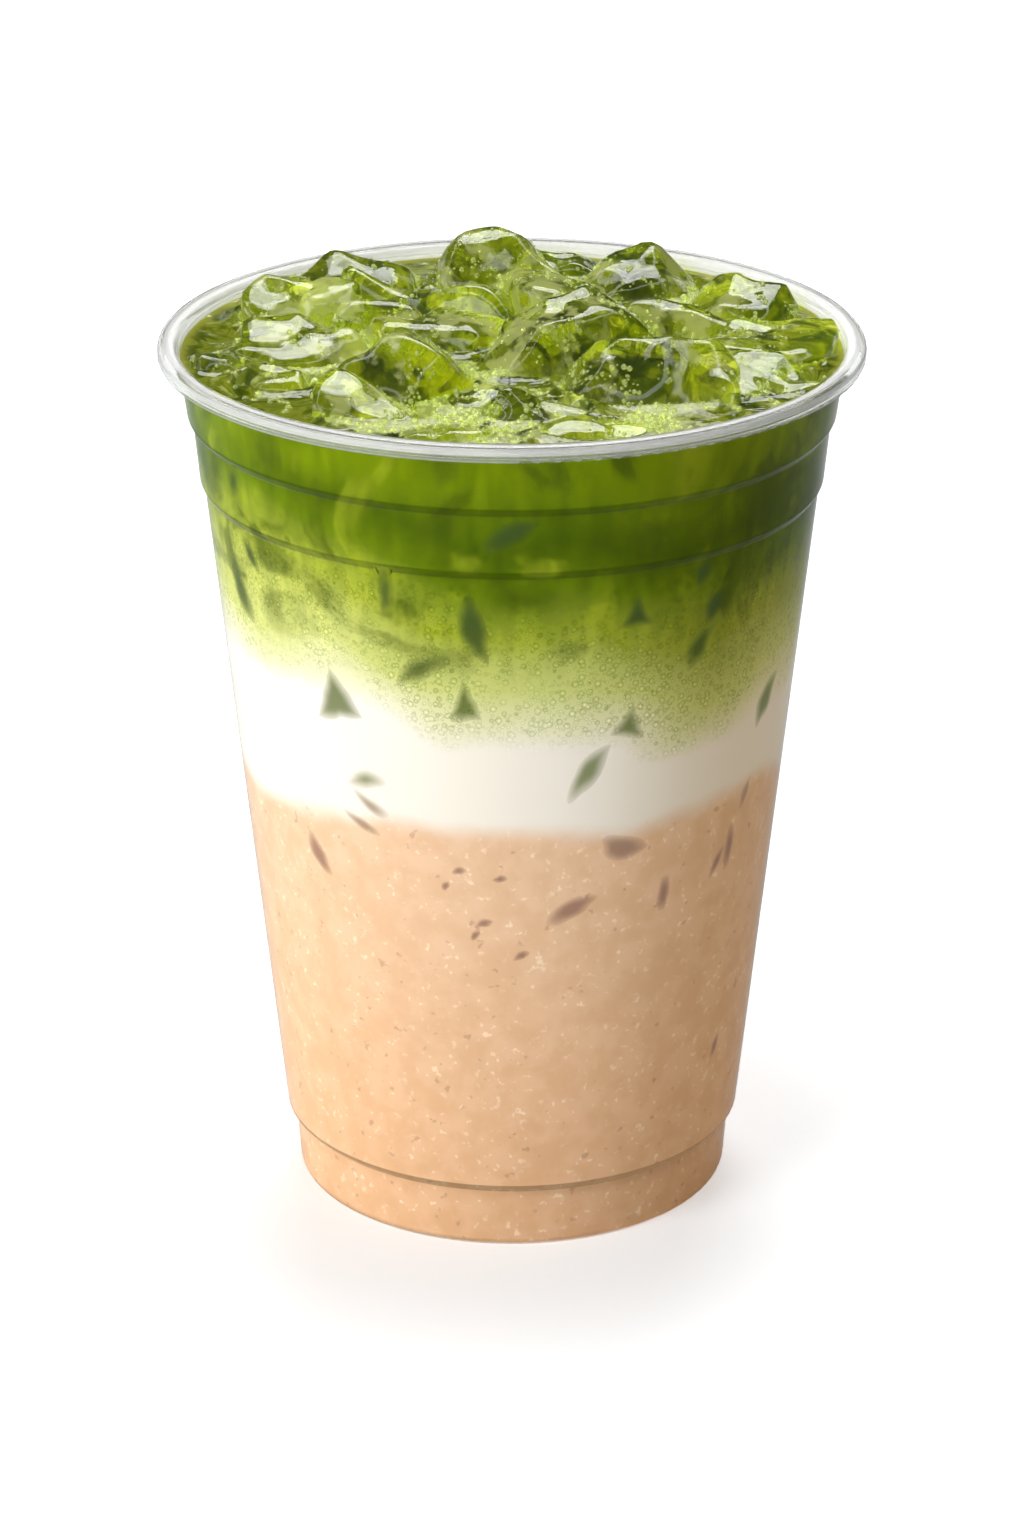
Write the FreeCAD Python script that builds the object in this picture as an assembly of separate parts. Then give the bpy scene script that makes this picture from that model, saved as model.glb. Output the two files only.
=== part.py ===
"""Iced layered latte in a clear thermoformed cup: coffee, milk and matcha layers under a heap of ice.

Millimetres. +Z is up, the origin is the middle of the cup's foot, and the front of the drink faces -Y.
The cup is one sheet of uniform thickness, turned about Z. The three layers fill it, one on the other, and
the ice floats in the top layer, which is cut round each piece.
"""
import FreeCAD
import Part
import math
import os
import random
from FreeCAD import Vector

# ---- the cup: sizes of the outside, from the foot up ----
cupHeight = 125.5
rimRadius = 49.0
baseRadius = 31.0          # at the foot, before its edge is rounded
wallThickness = 0.5
footRingInner = 27.6       # the cup stands on the flat ring outside this radius
panelLift = 2.4            # how far the middle of the base is raised
panelRamp = 1.6            # width of the slope between foot ring and panel
footEdgeRound = 1.3
baseBandHeight = 9.3       # the band below the lower stacking shoulder
baseBandFlare = 0.7
baseShoulderWidth = 1.15
shoulderDrop = 1.1         # height of each stacking shoulder
bandStep = 0.65            # the shoulder under the stacking band
bandHeight = 8.2
bandFlare = 0.8
neckStep = 0.75            # the shoulder under the neck
neckHeight = 8.0
neckFlare = 1.2

# ---- the rolled rim ----
rimWidth = 2.7             # from the neck to the outside of the rim
rimSkirt = 2.3             # how far the outer skirt hangs down
curlReturn = 0.75          # the skirt's edge turned back in
rimRise = 2.0              # the neck's last stretch, up to the flange
bendRound = 0.45           # bend radius of the sheet at the shoulders
rimBend = 0.75             # bend radius of the sheet at the rim

# ---- the drink ----
fillGap = 2.5              # from the top of the rim down to the drink
coffeeLevel = 65.5
milkThickness = 17.5

# ---- the ice ----
iceWallGap = 0.6           # between a piece and the cup
iceGap = 0.3               # between two pieces
wallFacets = 36            # flat faces that keep the ice off the round wall
edgeChamfer = 0.80         # an edge plane's distance, as a share of the sharp edge's
cornerChamfer = 0.73       # the same for a corner
faceLean = 7.0             # how many degrees a face may lean

# Each piece floats at a bearing from +X and at a share of the drink's radius, and is so wide, deep and tall.
# It stands so far out of the drink, is turned about Z, and is tipped about its own width.
icePieces = {
    "ice_peak":         dict(bearing=94, reach=0.74, size=(19, 14, 18), rise=8.4, turn=12, tip=16),
    "ice_back_left":    dict(bearing=123, reach=0.81, size=(20, 13, 14), rise=5.8, turn=-14, tip=-9),
    "ice_back_right":   dict(bearing=60, reach=0.78, size=(20, 14, 16), rise=6.8, turn=24, tip=12),
    "ice_back_chip":    dict(bearing=77, reach=0.90, size=(9, 7, 9), rise=3.2, turn=-8, tip=10),
    "ice_right_back":   dict(bearing=28, reach=0.79, size=(16, 14, 14), rise=6.2, turn=-20, tip=-14),
    "ice_right_slab":   dict(bearing=1, reach=0.80, size=(19, 14, 11), rise=4.0, turn=16, tip=7),
    "ice_right_front":  dict(bearing=-20, reach=0.80, size=(14, 12, 11), rise=3.8, turn=35, tip=-8),
    "ice_front_right":  dict(bearing=-38, reach=0.57, size=(24, 15, 16), rise=8.2, turn=-8, tip=18),
    "ice_centre_right": dict(bearing=23, reach=0.53, size=(15, 13, 13), rise=5.6, turn=-32, tip=-12),
    "ice_centre":       dict(bearing=-5, reach=0.18, size=(23, 14, 18), rise=9.4, turn=26, tip=24),
    "ice_dome":         dict(bearing=70, reach=0.41, size=(13, 12, 13), rise=6.6, turn=5, tip=-10),
    "ice_wave":         dict(bearing=118, reach=0.47, size=(25, 12, 15), rise=6.0, turn=-18, tip=-15),
    "ice_middle_flat":  dict(bearing=150, reach=0.25, size=(15, 13, 12), rise=4.6, turn=14, tip=5),
    "ice_left_block":   dict(bearing=149, reach=0.66, size=(9, 9, 13), rise=6.2, turn=8, tip=3),
    "ice_left_chip":    dict(bearing=146, reach=0.48, size=(9, 8, 10), rise=4.8, turn=-25, tip=14),
    "ice_left_back":    dict(bearing=152, reach=0.84, size=(14, 12, 14), rise=6.4, turn=28, tip=8),
    "ice_left_slab":    dict(bearing=183, reach=0.67, size=(21, 15, 12), rise=5.4, turn=4, tip=-17),
    "ice_left_shard":   dict(bearing=188, reach=0.90, size=(6, 6, 8), rise=2.6, turn=18, tip=12),
    "ice_left_front":   dict(bearing=203, reach=0.82, size=(11, 9, 9), rise=3.0, turn=-12, tip=-6),
    "ice_pyramid":      dict(bearing=226, reach=0.46, size=(18, 14, 17), rise=8.6, turn=40, tip=22),
    "ice_front_left":   dict(bearing=235, reach=0.71, size=(16, 11, 13), rise=5.6, turn=-22, tip=15),
    "ice_front_small":  dict(bearing=258, reach=0.50, size=(9, 8, 9), rise=2.8, turn=10, tip=9),
    "ice_front_facet":  dict(bearing=272, reach=0.58, size=(11, 10, 11), rise=4.4, turn=44, tip=16),
    "ice_front_low":    dict(bearing=288, reach=0.80, size=(13, 9, 9), rise=2.4, turn=-15, tip=5),
    "ice_front_edge":   dict(bearing=257, reach=0.84, size=(12, 8, 9), rise=2.2, turn=20, tip=-5),
}

drinkLevel = cupHeight - fillGap
milkLevel = coffeeLevel + milkThickness


# ---- the cup's sheet ----
def sheetPath():
    """Corners of the middle of the cup's sheet, from the axis to the rim's edge, as (radius, height, bend)."""
    half = wallThickness / 2
    neckTop = cupHeight - rimRise
    neckRadius = rimRadius - rimWidth
    neckFoot = neckTop - neckHeight
    bandTop = neckFoot - shoulderDrop
    bandFoot = bandTop - bandHeight
    wallTop = bandFoot - shoulderDrop
    bandTopRadius = neckRadius - neckFlare - neckStep
    bandFootRadius = bandTopRadius - bandFlare
    wallTopRadius = bandFootRadius - bandStep
    bandRadius = baseRadius + baseBandFlare
    outside = [
        (footRingInner - panelRamp, panelLift, bendRound),
        (footRingInner, 0.0, bendRound),
        (baseRadius, 0.0, footEdgeRound),
        (bandRadius, baseBandHeight, bendRound),
        (bandRadius + baseShoulderWidth, baseBandHeight + shoulderDrop, bendRound),
        (wallTopRadius, wallTop, bendRound),
        (bandFootRadius, bandFoot, bendRound),
        (bandTopRadius, bandTop, bendRound),
        (neckRadius - neckFlare, neckFoot, bendRound),
        (neckRadius, neckTop, bendRound),
    ]
    # The sheet's middle lies half a thickness inside the outside: in by that on the wall, up by it on the base.
    path = [(0.0, panelLift + half, 0.0)]
    path += [(r, z + half, bend) for r, z, bend in outside[:2]]
    path += [(r - half, z + (half if z == 0.0 else 0.0), bend) for r, z, bend in outside[2:]]
    top = cupHeight - half
    path += [
        (neckRadius + half, top, rimBend),
        (rimRadius - half, top, rimBend),
        (rimRadius - half, cupHeight - rimSkirt + half, bendRound),
        (rimRadius - half - curlReturn, cupHeight - rimSkirt + half, 0.0),
    ]
    return path


def offsetSide(path, offset):
    """Edges of the path, moved sideways by offset (positive to the left of its direction), with its bends."""
    points = [Vector(r, 0, z) for r, z, _ in path]
    ways = [(b - a).normalize() for a, b in zip(points, points[1:])]
    lefts = [Vector(-w.z, 0, w.x) for w in ways]
    starts, ends, bends = [points[0] + lefts[0] * offset], [], []
    for i in range(1, len(points) - 1):
        before, after = ways[i - 1], ways[i]
        turn = before.getAngle(after)
        left = before.x * after.z - before.z * after.x > 0
        bend = path[i][2]
        back = bend * math.tan(turn / 2)
        a, b = points[i] - before * back, points[i] + after * back
        centre = a + lefts[i - 1] * (bend if left else -bend)
        a, b = a + lefts[i - 1] * offset, b + lefts[i] * offset
        middle = (a - centre) + (b - centre)
        middle = centre + middle.normalize() * (a - centre).Length
        bends.append((a, middle, b))
        ends.append(a)
        starts.append(b)
    ends.append(points[-1] + lefts[-1] * offset)
    edges = []
    for i, (a, b) in enumerate(zip(starts, ends)):
        edges.append(Part.LineSegment(a, b).toShape())
        if i < len(bends):
            edges.append(Part.Arc(*bends[i]).toShape())
    return edges, starts[0], ends[-1]


def turned(edges):
    """The solid that a closed outline in the XZ plane makes when it turns about Z."""
    face = Part.Face(Part.Wire(edges))
    solid = face.revolve(Vector(0, 0, 0), Vector(0, 0, 1), 360)
    return solid.removeSplitter() if solid.isValid() else solid


def line(a, b):
    return Part.LineSegment(a, b).toShape()


def makeCup():
    path = sheetPath()
    half = wallThickness / 2
    inside, insideStart, insideEnd = offsetSide(path, half)
    outside, outsideStart, outsideEnd = offsetSide(path, -half)
    edges = outside + [line(outsideEnd, insideEnd)] + inside[::-1] + [line(insideStart, outsideStart)]
    return turned(Part.__sortEdges__(edges))


def makeFilling():
    """All that the cup holds up to the drink's level, as one solid."""
    path = sheetPath()
    half = wallThickness / 2
    neck = next(i for i, (r, z, _) in enumerate(path) if i > 2 and z > cupHeight - rimRise - 0.01)
    edges, start, end = offsetSide(path[:neck + 1], half)
    top = Vector(0, 0, end.z)
    solid = turned(Part.__sortEdges__(edges + [line(end, top), line(top, start)]))
    return solid.common(slab(-1.0, drinkLevel))


def slab(low, high):
    """A block wider than the cup between two heights."""
    wide = 2 * rimRadius + 10
    return Part.makeBox(wide, wide, high - low, Vector(-wide / 2, -wide / 2, low))


# ---- the ice ----
def clip(faces, point, normal):
    """A convex body, as a list of faces of points, less what lies beyond a plane."""
    kept, rim = [], []
    for face in faces:
        out = []
        for a, b in zip(face, face[1:] + face[:1]):
            da, db = (a - point).dot(normal), (b - point).dot(normal)
            if da <= 0:
                out.append(a)
            if (da < 0 < db) or (db < 0 < da):
                cut = a + (b - a) * (da / (da - db))
                out.append(cut)
                rim.append(cut)
            elif da == 0:
                rim.append(a)
        if len(out) > 2:
            kept.append(out)
    if len(kept) == len(faces) and not rim:
        return faces
    corners = distinct(rim)
    if len(corners) > 2:
        middle = sum(corners, Vector()) * (1 / len(corners))
        side = (corners[0] - middle).normalize()
        up = normal.cross(side)
        corners.sort(key=lambda c: math.atan2((c - middle).dot(up), (c - middle).dot(side)))
        kept.append(corners)
    return kept


def distinct(points, near=1e-4):
    found = []
    for p in points:
        if all((p - q).Length > near for q in found):
            found.append(p)
    return found


def boxFaces(half):
    """The six faces of a box about the origin."""
    faces = []
    for axis in range(3):
        for sign in (-1, 1):
            face = []
            for u, v in ((-1, -1), (1, -1), (1, 1), (-1, 1)):
                corner = [0, 0, 0]
                corner[axis] = sign * half[axis]
                corner[(axis + 1) % 3] = u * half[(axis + 1) % 3] * sign
                corner[(axis + 2) % 3] = v * half[(axis + 2) % 3]
                face.append(Vector(*corner))
            faces.append(face)
    return faces


def cube(size, chance):
    """A melted cube about the origin: leaning faces, with its edges and corners cut off."""
    half = [s / 2 for s in size]
    faces = boxFaces([1.3 * h for h in half])
    lean = math.tan(math.radians(faceLean))
    for ways in range(1, 4):
        for signs in [(x, y, z) for x in (-1, 0, 1) for y in (-1, 0, 1) for z in (-1, 0, 1)]:
            if sum(map(abs, signs)) != ways:
                continue
            share = (1.0, edgeChamfer, cornerChamfer)[ways - 1] * chance.uniform(0.93, 1.03)
            point = Vector(*[s * h for s, h in zip(signs, half)]) * share
            normal = Vector(*[s / h for s, h in zip(signs, half)])
            normal = normal.normalize() + Vector(*[chance.uniform(-lean, lean) for _ in range(3)])
            faces = clip(faces, point, normal.normalize())
    return faces


def placed(piece, chance, radius):
    """A piece of ice, turned, tipped and floating at its place."""
    turn = FreeCAD.Rotation(Vector(0, 0, 1), piece["turn"])
    tip = FreeCAD.Rotation(Vector(1, 0, 0), piece["tip"])
    roll = FreeCAD.Rotation(Vector(0, 1, 0), chance.uniform(-12, 12))
    pose = turn.multiply(tip).multiply(roll)
    faces = [[pose.multVec(p) for p in face] for face in cube(piece["size"], chance)]
    top = max(p.z for face in faces for p in face)
    bearing = math.radians(piece["bearing"])
    away = piece["reach"] * radius
    centre = Vector(away * math.cos(bearing), away * math.sin(bearing), drinkLevel + piece["rise"] - top)
    return centre, [[p + centre for p in face] for face in faces]


def reachOf(centre, faces, way):
    """How far a body reaches from its centre along a direction."""
    return max((p - centre).dot(way) for face in faces for p in face)


def keepApart(bodies):
    """Cuts each two pieces that would meet along a plane between them, with the gap on it."""
    names = list(bodies)
    for i, first in enumerate(names):
        for second in names[i + 1:]:
            (a, facesA), (b, facesB) = bodies[first], bodies[second]
            way = (b - a)
            apart = way.Length
            way.normalize()
            reachA, reachB = reachOf(a, facesA, way), reachOf(b, facesB, way * -1)
            if reachA + reachB + iceGap <= apart:
                continue
            at = a + way * (apart * reachA / (reachA + reachB))
            bodies[first] = (a, clip(facesA, at - way * (iceGap / 2), way))
            bodies[second] = (b, clip(facesB, at + way * (iceGap / 2), way * -1))


def keepOffWall(faces, radius):
    """Cuts a piece along flat faces round the inside of the cup."""
    for i in range(wallFacets):
        angle = 2 * math.pi * i / wallFacets
        way = Vector(math.cos(angle), math.sin(angle), 0)
        faces = clip(faces, way * radius, way)
    return faces


def solidOf(faces):
    shown = [distinct(face) for face in faces]
    made = [Part.Face(Part.makePolygon(face + face[:1])) for face in shown if len(face) > 2]
    shell = Part.makeShell(made)
    shell.sewShape()
    solid = Part.makeSolid(shell)
    if solid.Volume < 0:
        solid.reverse()
    return solid


def insideRadius(filling, height):
    """The cup's inside radius at a height, from the length round what fills it."""
    return filling.slice(Vector(0, 0, 1), height)[0].Length / (2 * math.pi)


def makeIce(filling):
    """Every piece of ice as a solid, by name."""
    chance = random.Random(7)
    surfaceRadius = insideRadius(filling, drinkLevel - 0.1)
    bodies = {name: placed(piece, chance, surfaceRadius) for name, piece in icePieces.items()}
    keepApart(bodies)
    solids = {}
    for name, (centre, faces) in bodies.items():
        foot = min(p.z for face in faces for p in face)
        faces = keepOffWall(faces, insideRadius(filling, foot) - iceWallGap)
        solids[name] = solidOf(faces)
    return solids


def main():
    os.makedirs("parts", exist_ok=True)
    cup = makeCup()
    filling = makeFilling()
    ice = makeIce(filling)
    layers = {
        "coffee": filling.common(slab(-1.0, coffeeLevel)),
        "milk": filling.common(slab(coffeeLevel, milkLevel)),
        "matcha": filling.common(slab(milkLevel, drinkLevel)).cut(list(ice.values())),
    }
    for name, shape in {"cup": cup, **layers, **ice}.items():
        shape.exportStep(os.path.join("parts", name + ".step"))
        print(name, shape.ShapeType, len(shape.Solids), shape.isValid(), round(shape.Volume, 1))


main()
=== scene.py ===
import bmesh
import bpy
import math
import random
import numpy as np
from mathutils import Euler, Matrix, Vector, noise


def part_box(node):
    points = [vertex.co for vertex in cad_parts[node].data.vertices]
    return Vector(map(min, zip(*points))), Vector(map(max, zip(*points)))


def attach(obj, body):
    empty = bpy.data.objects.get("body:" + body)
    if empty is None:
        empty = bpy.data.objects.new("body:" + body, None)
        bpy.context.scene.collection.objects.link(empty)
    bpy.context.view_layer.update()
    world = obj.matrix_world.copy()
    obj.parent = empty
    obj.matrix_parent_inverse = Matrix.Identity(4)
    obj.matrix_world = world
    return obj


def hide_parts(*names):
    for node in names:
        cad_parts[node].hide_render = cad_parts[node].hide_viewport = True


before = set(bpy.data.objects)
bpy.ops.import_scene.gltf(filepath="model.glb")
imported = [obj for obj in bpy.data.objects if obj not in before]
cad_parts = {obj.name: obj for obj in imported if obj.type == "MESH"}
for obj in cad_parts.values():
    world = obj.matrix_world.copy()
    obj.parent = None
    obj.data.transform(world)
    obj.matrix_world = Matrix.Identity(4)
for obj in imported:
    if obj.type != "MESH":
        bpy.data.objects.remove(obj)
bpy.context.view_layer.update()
mm = 0.001
root = "root"
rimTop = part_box("cup")[1].z
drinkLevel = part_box("matcha")[1].z
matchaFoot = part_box("matcha")[0].z
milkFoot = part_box("milk")[0].z
print("frame loaded, the drink stands", round(drinkLevel / mm, 1), "mm high")


# small helpers
def makePiece(name, points, faces, smooth=True):
    mesh = bpy.data.meshes.new(name)
    mesh.from_pydata([tuple(p) for p in points], [], [tuple(f) for f in faces])
    mesh.polygons.foreach_set("use_smooth", [smooth] * len(mesh.polygons))
    mesh.update()
    piece = bpy.data.objects.new(name, mesh)
    bpy.context.scene.collection.objects.link(piece)
    return piece


def settle(piece, slotName, materials, *nodes):
    for material in materials:
        piece.data.materials.append(material)
    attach(piece, root)
    if nodes:
        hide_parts(*nodes)


def paint(piece, name, values):
    layer = piece.data.attributes.new(name, "FLOAT", "POINT")
    layer.data.foreach_set("value", np.asarray(values, dtype=np.float32))


def grain(point, size, seed):  # smooth noise from -1 to 1, of a size in metres
    return noise.noise(Vector(point) / size + Vector((seed, seed * 1.7, -seed)))


def easeBetween(low, high, x):
    t = np.clip((x - low) / (high - low), 0.0, 1.0)
    return t * t * (3 - 2 * t)


def onWall(bearing, height, out):  # a place on the inside of the cup
    r = wallRadius(height) + out
    angle = math.radians(bearing)
    return Vector((r * math.cos(angle), r * math.sin(angle), height))


# material helpers
def newMaterial(name):
    material = bpy.data.materials.new(name)
    material.use_nodes = True
    tree = material.node_tree
    tree.nodes.clear()
    return material, tree


def addNode(tree, kind, inputs=None, **settings):
    node = tree.nodes.new(kind)
    for key, value in settings.items():
        setattr(node, key, value)
    for key, value in (inputs or {}).items():
        if isinstance(value, bpy.types.NodeSocket):
            tree.links.new(value, node.inputs[key])
        else:
            node.inputs[key].default_value = value
    return node


def addMath(tree, operation, a, b=0.0):
    return addNode(tree, "ShaderNodeMath", {0: a, 1: b}, operation=operation).outputs[0]


def addTimes(tree, product, *others):
    for value in others:
        product = addMath(tree, "MULTIPLY", product, value)
    return product


def addRamp(tree, factor, stops):
    node = addNode(tree, "ShaderNodeValToRGB", {"Fac": factor})
    ramp = node.color_ramp
    while len(ramp.elements) > 1:
        ramp.elements.remove(ramp.elements[-1])
    for i, (place, colour) in enumerate(stops):
        element = ramp.elements[0] if i == 0 else ramp.elements.new(place)
        element.position = place
        element.color = (*colour, 1.0)
    return node.outputs["Color"]


def addMix(tree, factor, a, b, blend="MIX"):
    node = addNode(tree, "ShaderNodeMix", data_type="RGBA", blend_type=blend)
    for socket, value in ((node.inputs[0], factor), (node.inputs[6], a), (node.inputs[7], b)):
        if isinstance(value, bpy.types.NodeSocket):
            tree.links.new(value, socket)
        else:
            socket.default_value = value if isinstance(value, float) else (*value, 1.0)
    return node.outputs[2]


# goes from toLow to toHigh while the value goes from low to high
def addRange(tree, value, low, high, toLow=0.0, toHigh=1.0, smooth=True):
    node = addNode(tree, "ShaderNodeMapRange", {"Value": value, 1: low, 2: high, 3: toLow, 4: toHigh})
    node.interpolation_type = "SMOOTHSTEP" if smooth else "LINEAR"
    return node.outputs[0]


def addNoise(tree, vector, scale, detail=3.0, distortion=0.0):
    values = {"Vector": vector, "Scale": scale, "Detail": detail, "Distortion": distortion}
    return addNode(tree, "ShaderNodeTexNoise", values).outputs["Fac"]


def addWobble(tree, noiseValue, strength):  # noise from 0 to 1 made to go both ways
    return addTimes(tree, addMath(tree, "SUBTRACT", noiseValue, 0.5), strength)


def addCells(tree, vector, scale):
    return addNode(tree, "ShaderNodeTexVoronoi", {"Vector": vector, "Scale": scale}).outputs["Distance"]


def addPlace(tree):
    return addNode(tree, "ShaderNodeTexCoord").outputs["Object"]


def addPainted(tree, name):
    return addNode(tree, "ShaderNodeAttribute", attribute_name=name).outputs["Fac"]


def addSeen(tree):  # 1 for what the camera sees, straight or through clear things
    path = addNode(tree, "ShaderNodeLightPath").outputs
    return addMath(tree, "MAXIMUM", path["Is Camera Ray"], path["Is Transmission Ray"])


def addSurface(tree, values):
    return addNode(tree, "ShaderNodeBsdfPrincipled", values).outputs[0]


def finishMaterial(tree, shader, letsLightThrough=None):
    output = addNode(tree, "ShaderNodeOutputMaterial")
    if letsLightThrough:  # lamps shine through it, so what is inside is lit
        path = addNode(tree, "ShaderNodeLightPath")
        clear = addNode(tree, "ShaderNodeBsdfTransparent", {"Color": (*letsLightThrough, 1.0)})
        mix = addNode(tree, "ShaderNodeMixShader", {0: path.outputs["Is Shadow Ray"]})
        tree.links.new(shader, mix.inputs[1])
        tree.links.new(clear.outputs[0], mix.inputs[2])
        shader = mix.outputs[0]
    tree.links.new(shader, output.inputs["Surface"])


# the camera
cameraSettings = dict(
    distance=668.9 * mm, height=334.06 * mm, pitchDown=22.2154, lens=118.355, sensor=36.0, nearest=10 * mm,
)


def makeCamera(s):
    data = bpy.data.cameras.new("camera")
    data.lens = s["lens"]
    data.sensor_width = s["sensor"]
    data.clip_start = s["nearest"]
    camera = bpy.data.objects.new("camera", data)
    camera.location = (0.0, -s["distance"], s["height"])
    camera.rotation_euler = (math.radians(90 - s["pitchDown"]), 0.0, 0.0)
    bpy.context.scene.collection.objects.link(camera)
    bpy.context.scene.camera = camera


makeCamera(cameraSettings)
print("camera placed")


# the light: a large soft lamp in front on the left, another behind, and a white room
lightSettings = dict(
    key=dict(place=(-0.52, -0.55, 0.57), size=0.42, watts=2.92),
    back=dict(place=(0.05, 0.55, 0.75), size=0.5, watts=3.8),
    aimShare=0.6,  # the lamps point at this share of the cup's height
    roomStrength=0.08, frontStrength=0.10, mirrorDark=0.035, mirrorBright=5.0,
    # edges of the white part of the room and of its panels, along the direction looked in
    whiteBehind=(-0.45, 0.1), whiteAbove=(0.45, 0.8),
    overheadFrom=(0.74, 0.77), overheadTo=(0.87, 0.84), leftFrom=(-0.80, -0.86), leftFoot=(0.05, 0.15),
)


def makeLamp(name, s):
    data = bpy.data.lights.new(name, "AREA")
    data.shape = "DISK"
    data.size = s["size"]
    data.energy = s["watts"]
    lamp = bpy.data.objects.new(name, data)
    lamp.location = s["place"]
    aim = Vector((0.0, 0.0, rimTop * lightSettings["aimShare"])) - Vector(s["place"])
    lamp.rotation_euler = aim.to_track_quat("-Z", "Y").to_euler()
    bpy.context.scene.collection.objects.link(lamp)


def makeRoom(s):
    world = bpy.data.worlds.new("room")
    bpy.context.scene.world = world
    world.use_nodes = True
    tree = world.node_tree
    tree.nodes.clear()
    direction = addNode(tree, "ShaderNodeTexCoord").outputs["Generated"]
    way = addNode(tree, "ShaderNodeSeparateXYZ", {0: direction}).outputs
    behind = addRange(tree, way["Y"], *s["whiteBehind"])
    above = addRange(tree, way["Z"], *s["whiteAbove"])
    white = addMath(tree, "MAXIMUM", behind, above)
    glow = addRange(tree, white, 0.0, 1.0, s["frontStrength"], 1.0, smooth=False)
    strength = addNode(tree, "ShaderNodeMix", {0: addSeen(tree), 2: s["roomStrength"], 3: glow}).outputs[0]
    # mirrored in wet and clear things: a bright panel overhead and another on the left, dark between them
    overhead = addRange(tree, way["Z"], *s["overheadFrom"])
    overhead = addTimes(tree, overhead, addRange(tree, way["Z"], *s["overheadTo"]))
    left = addTimes(tree, addRange(tree, way["X"], *s["leftFrom"]), addRange(tree, way["Z"], *s["leftFoot"]))
    panels = addMath(tree, "MAXIMUM", overhead, left)
    mirrored = addRange(tree, panels, 0.0, 1.0, s["mirrorDark"], s["mirrorBright"], smooth=False)
    isMirror = addNode(tree, "ShaderNodeLightPath").outputs["Is Glossy Ray"]
    strength = addNode(tree, "ShaderNodeMix", {0: isMirror, 2: strength, 3: mirrored}).outputs[0]
    background = addNode(tree, "ShaderNodeBackground", {"Color": (1, 1, 1, 1), "Strength": strength})
    output = addNode(tree, "ShaderNodeOutputWorld")
    tree.links.new(background.outputs[0], output.inputs["Surface"])


# the floor glows less near the cup, so that the cup's shadow shows on it
floorSettings = dict(half=6.0, colour=(0.82, 0.86, 0.90, 1), glow=(38 * mm, 88 * mm, 0.525, 0.90))


def makeFloor(s):
    half = s["half"]
    corners = [(-half, -half, 0), (half, -half, 0), (half, half, 0), (-half, half, 0)]
    floor = makePiece("floor", corners, [(0, 1, 2, 3)], smooth=False)
    material, tree = newMaterial("white floor")
    away = addNode(tree, "ShaderNodeVectorMath", {0: addPlace(tree)}, operation="LENGTH").outputs["Value"]
    strength = addTimes(tree, addSeen(tree), addRange(tree, away, *s["glow"]))
    matt = addNode(tree, "ShaderNodeBsdfDiffuse", {"Color": s["colour"]})
    glow = addNode(tree, "ShaderNodeEmission", {"Color": (1, 1, 1, 1), "Strength": strength})
    both = addNode(tree, "ShaderNodeAddShader")
    tree.links.new(matt.outputs[0], both.inputs[0])
    tree.links.new(glow.outputs[0], both.inputs[1])
    finishMaterial(tree, both.outputs[0])
    floor.data.materials.append(material)


for lampName in ("key", "back"):
    makeLamp(lampName, lightSettings[lampName])
makeRoom(lightSettings)
makeFloor(floorSettings)
bpy.context.scene.view_settings.view_transform = "Standard"
print("light and floor made")


# the cup keeps its solid, and gets its clear plastic; on the rim, whiter cloudier plastic is painted light
# standing in for the white room seen through it, with fine rings of painted shade standing in for refraction
# in its rolled curl
cupSettings = dict(
    # the rim's whiter, cloudier plastic is painted light: the white room seen through the clear rim
    rimFrom=2.4 * mm, rimTo=1.9 * mm,  # under the rim's top, where its whiter plastic starts
    ringPitch=1.7 * mm, ringFade=(-0.6, 0.8), rimWhite=(1.0, 1.0, 0.99), rimShadeLine=(0.79, 0.79, 0.77),
    wallTint=(0.985, 0.99, 0.99), letsThrough=(0.95, 0.95, 0.95), leastCloudy=0.16, mostCloudy=0.62,
    wallRough=0.03, rimRough=0.10, ior=1.13,
)


def clearPlastic(s):
    material, tree = newMaterial("clear plastic")
    place = addPlace(tree)
    height = addNode(tree, "ShaderNodeSeparateXYZ", {0: place}).outputs["Z"]
    atRim = addRange(tree, height, rimTop - s["rimFrom"], rimTop - s["rimTo"])
    rough = addRange(tree, atRim, 0.0, 1.0, s["wallRough"], s["rimRough"])
    flat = addNode(tree, "ShaderNodeVectorMath", {0: place, 1: (1, 1, 0)}, operation="MULTIPLY").outputs[0]
    across = addNode(tree, "ShaderNodeVectorMath", {0: flat}, operation="LENGTH").outputs["Value"]
    along = addMath(tree, "SUBTRACT", across, height)  # grows from the rim's inside to the foot of its skirt
    # painted shade: grey rings round the rim, standing in for refraction in its rolled curl
    ring = addMath(tree, "SINE", addTimes(tree, along, 2 * math.pi / s["ringPitch"]))
    ring = addRange(tree, ring, *s["ringFade"])
    rimColour = addMix(tree, ring, s["rimShadeLine"], s["rimWhite"])
    cloudy = addRange(tree, ring, 0.0, 1.0, s["leastCloudy"], s["mostCloudy"])
    colour = addMix(tree, atRim, s["wallTint"], rimColour)
    values = {"Base Color": colour, "Roughness": rough, "IOR": s["ior"]}
    values["Transmission Weight"] = addMath(tree, "SUBTRACT", 1.0, addTimes(tree, atRim, cloudy))
    finishMaterial(tree, addSurface(tree, values), s["letsThrough"])
    return material


def dressCup():
    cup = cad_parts["cup"]
    cup.data.materials.clear()
    cup.data.materials.append(clearPlastic(cupSettings))


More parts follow.
